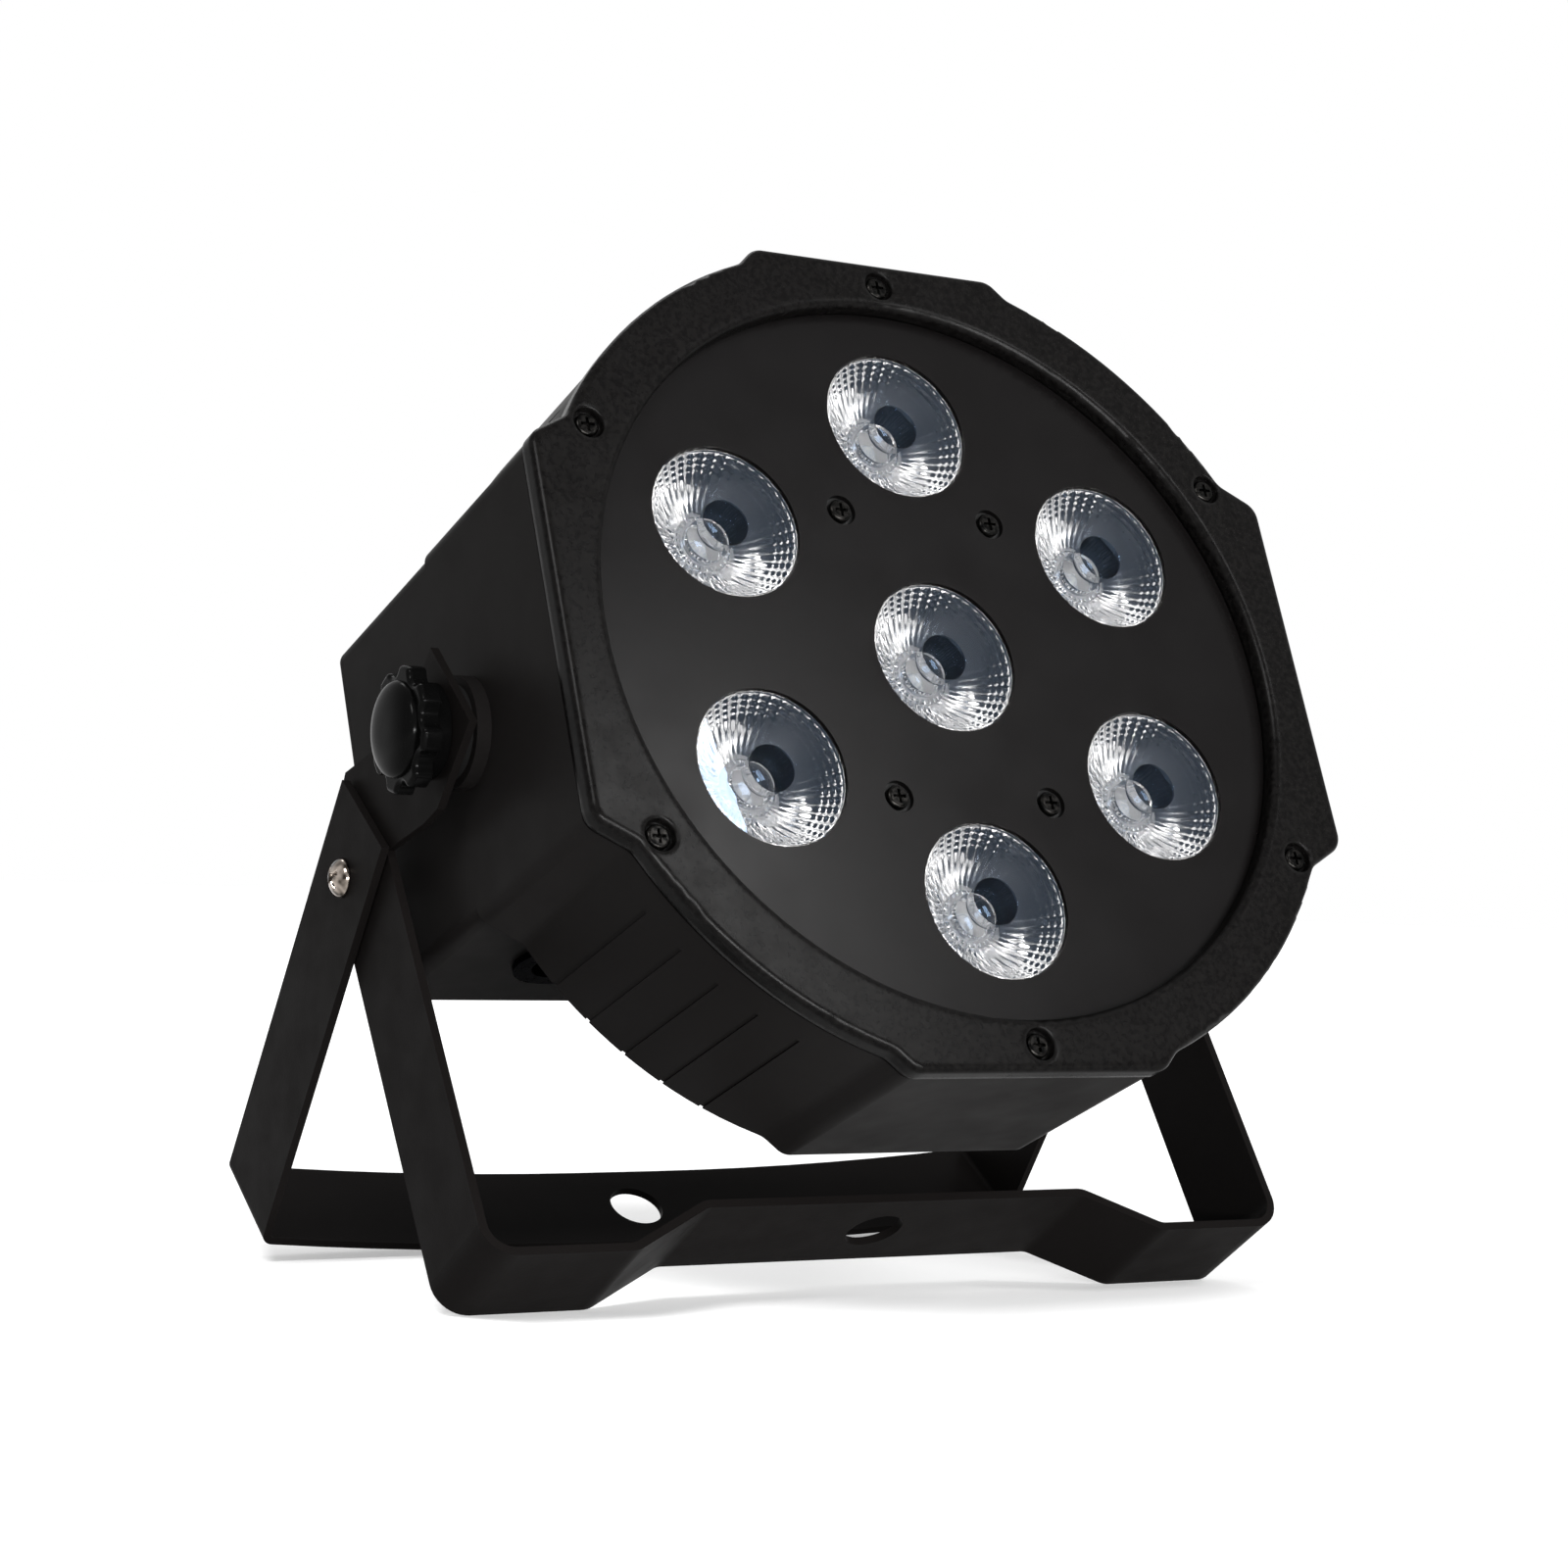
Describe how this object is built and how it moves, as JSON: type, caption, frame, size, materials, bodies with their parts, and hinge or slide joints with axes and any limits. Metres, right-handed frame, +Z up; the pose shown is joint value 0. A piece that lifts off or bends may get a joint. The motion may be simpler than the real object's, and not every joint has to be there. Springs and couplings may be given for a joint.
{
  "type": "par can light",
  "caption": "Flat LED par light whose head tilts between two folding brackets that stand on the floor or hang from a clamp.",
  "frame": {"origin": "on the floor, at the middle of the footprint", "axes": "+Z up, the light shines towards -Y and a little up, +X to the right of someone facing the lenses"},
  "size_m": [0.2418, 0.1975, 0.2475],
  "materials": {
    "black_plastic": "satin black ABS",
    "housing_plastic": "fine matte black ABS",
    "cover_plastic": "fine matte black ABS",
    "bezel_plastic": "fine textured black ABS",
    "black_sheet": "satin black painted sheet",
    "black_powder_coat": "matte black powder coat",
    "clear_acrylic": "clear moulded acrylic",
    "black_screw": "black oxide",
    "dark_chrome": "dark nickel plate",
    "zinc_steel": "zinc plate",
    "brass": "bare brass",
    "black_rubber": "matte",
    "nylon": "black nylon",
    "aluminium": "bare aluminium",
    "circuit_board": "green solder mask",
    "led_board": "white solder mask on aluminium",
    "emitter_resin": "clear resin over phosphor",
    "gloss_black": "gloss black",
    "smoked_window": "smoked acrylic",
    "connector_metal": "black nickel",
    "button_plastic": "satin grey black",
    "winding": "yellow tape",
    "capacitor_sleeve": "blue sleeve",
    "fuse_glass": "clear glass"
  },
  "bodies": {
    "front_bracket": {"front_bracket": "black_powder_coat", "bracket_screws": "dark_chrome", "bracket_nuts": "zinc_steel", "bracket_washers": "nylon"},
    "head": {"bezel_screws": "black_screw", "control_board": "circuit_board", "display": "gloss_black", "display_window": "smoked_window", "dmx_in_pins": "brass", "dmx_in_shell": "connector_metal", "dmx_nuts": "connector_metal", "dmx_out_insert": "black_plastic", "dmx_out_shell": "connector_metal", "filter_capacitors": "capacitor_sleeve", "friction_washers": "black_rubber", "front_bezel": "bezel_plastic", "fuse": "fuse_glass", "fuse_holder": "black_plastic", "heat_sink": "aluminium", "housing": "housing_plastic", "led_board": "led_board", "led_emitters": "emitter_resin", "lens_0": "clear_acrylic", "lens_1": "clear_acrylic", "lens_2": "clear_acrylic", "lens_3": "clear_acrylic", "lens_4": "clear_acrylic", "lens_5": "clear_acrylic", "lens_6": "clear_acrylic", "lens_holder_0": "black_plastic", "lens_holder_1": "black_plastic", "lens_holder_2": "black_plastic", "lens_holder_3": "black_plastic", "lens_holder_4": "black_plastic", "lens_holder_5": "black_plastic", "lens_holder_6": "black_plastic", "lens_plate": "black_sheet", "pivot_inserts": "brass", "plate_screws": "black_screw", "plate_standoffs": "nylon", "power_board": "circuit_board", "power_inlet": "black_plastic", "power_inlet_pins": "brass", "power_inlet_screws": "black_screw", "rear_cover": "cover_plastic", "rear_cover_screws": "black_screw", "transformer": "winding"},
    "rear_bracket": {"rear_bracket": "black_powder_coat"},
    "knob_left": {"knob_left": "gloss_black", "knob_bolt_left": "zinc_steel"},
    "knob_right": {"knob_right": "gloss_black", "knob_bolt_right": "zinc_steel"},
    "dmx_latch": {"dmx_latch": "connector_metal"},
    "fuse_cap": {"fuse_cap": "black_plastic"},
    "menu_button_0": {"menu_button_0": "button_plastic"},
    "menu_button_1": {"menu_button_1": "button_plastic"},
    "menu_button_2": {"menu_button_2": "button_plastic"},
    "menu_button_3": {"menu_button_3": "button_plastic"}
  },
  "joints": [
    {"name": "head_tilt", "type": "hinge", "parent": "front_bracket", "child": "head", "pos_m": [0, -0.012, 0.12971], "axis": [1, 0, 0], "range_deg": [-120, 27]},
    {"name": "rear_bracket_swing", "type": "hinge", "parent": "front_bracket", "child": "rear_bracket", "pos_m": [0, 0.02999, 0.09565], "axis": [1, 0, 0], "range_deg": [-51, 75]},
    {"name": "knob_left_turn", "type": "hinge", "parent": "head", "child": "knob_left", "pos_m": [-0.1103, -0.012, 0.12971], "axis": [-1, 0, 0], "range_deg": [0, 360]},
    {"name": "knob_right_turn", "type": "hinge", "parent": "head", "child": "knob_right", "pos_m": [0.1103, -0.012, 0.12971], "axis": [1, 0, 0], "range_deg": [0, 360]},
    {"name": "menu_button_0_press", "type": "slide", "parent": "head", "child": "menu_button_0", "axis": [0, 0.9184, -0.3955], "range_m": [-0.0008, 0], "stiffness_N_per_m": 400, "springref_m": 0.001},
    {"name": "menu_button_1_press", "type": "slide", "parent": "head", "child": "menu_button_1", "axis": [0, 0.9184, -0.3955], "range_m": [-0.0008, 0], "stiffness_N_per_m": 400, "springref_m": 0.001},
    {"name": "menu_button_2_press", "type": "slide", "parent": "head", "child": "menu_button_2", "axis": [0, 0.9184, -0.3955], "range_m": [-0.0008, 0], "stiffness_N_per_m": 400, "springref_m": 0.001},
    {"name": "menu_button_3_press", "type": "slide", "parent": "head", "child": "menu_button_3", "axis": [0, 0.9184, -0.3955], "range_m": [-0.0008, 0], "stiffness_N_per_m": 400, "springref_m": 0.001},
    {"name": "dmx_latch_press", "type": "slide", "parent": "head", "child": "dmx_latch", "axis": [0, -0.3955, -0.9184], "range_m": [-0.0015, 0], "stiffness_N_per_m": 400, "springref_m": 0.001},
    {"name": "fuse_cap_turn", "type": "hinge", "parent": "head", "child": "fuse_cap", "pos_m": [0.034, 0.00015, 0.07701], "axis": [0, -0.3955, -0.9184], "range_deg": [0, 60]}
  ]
}
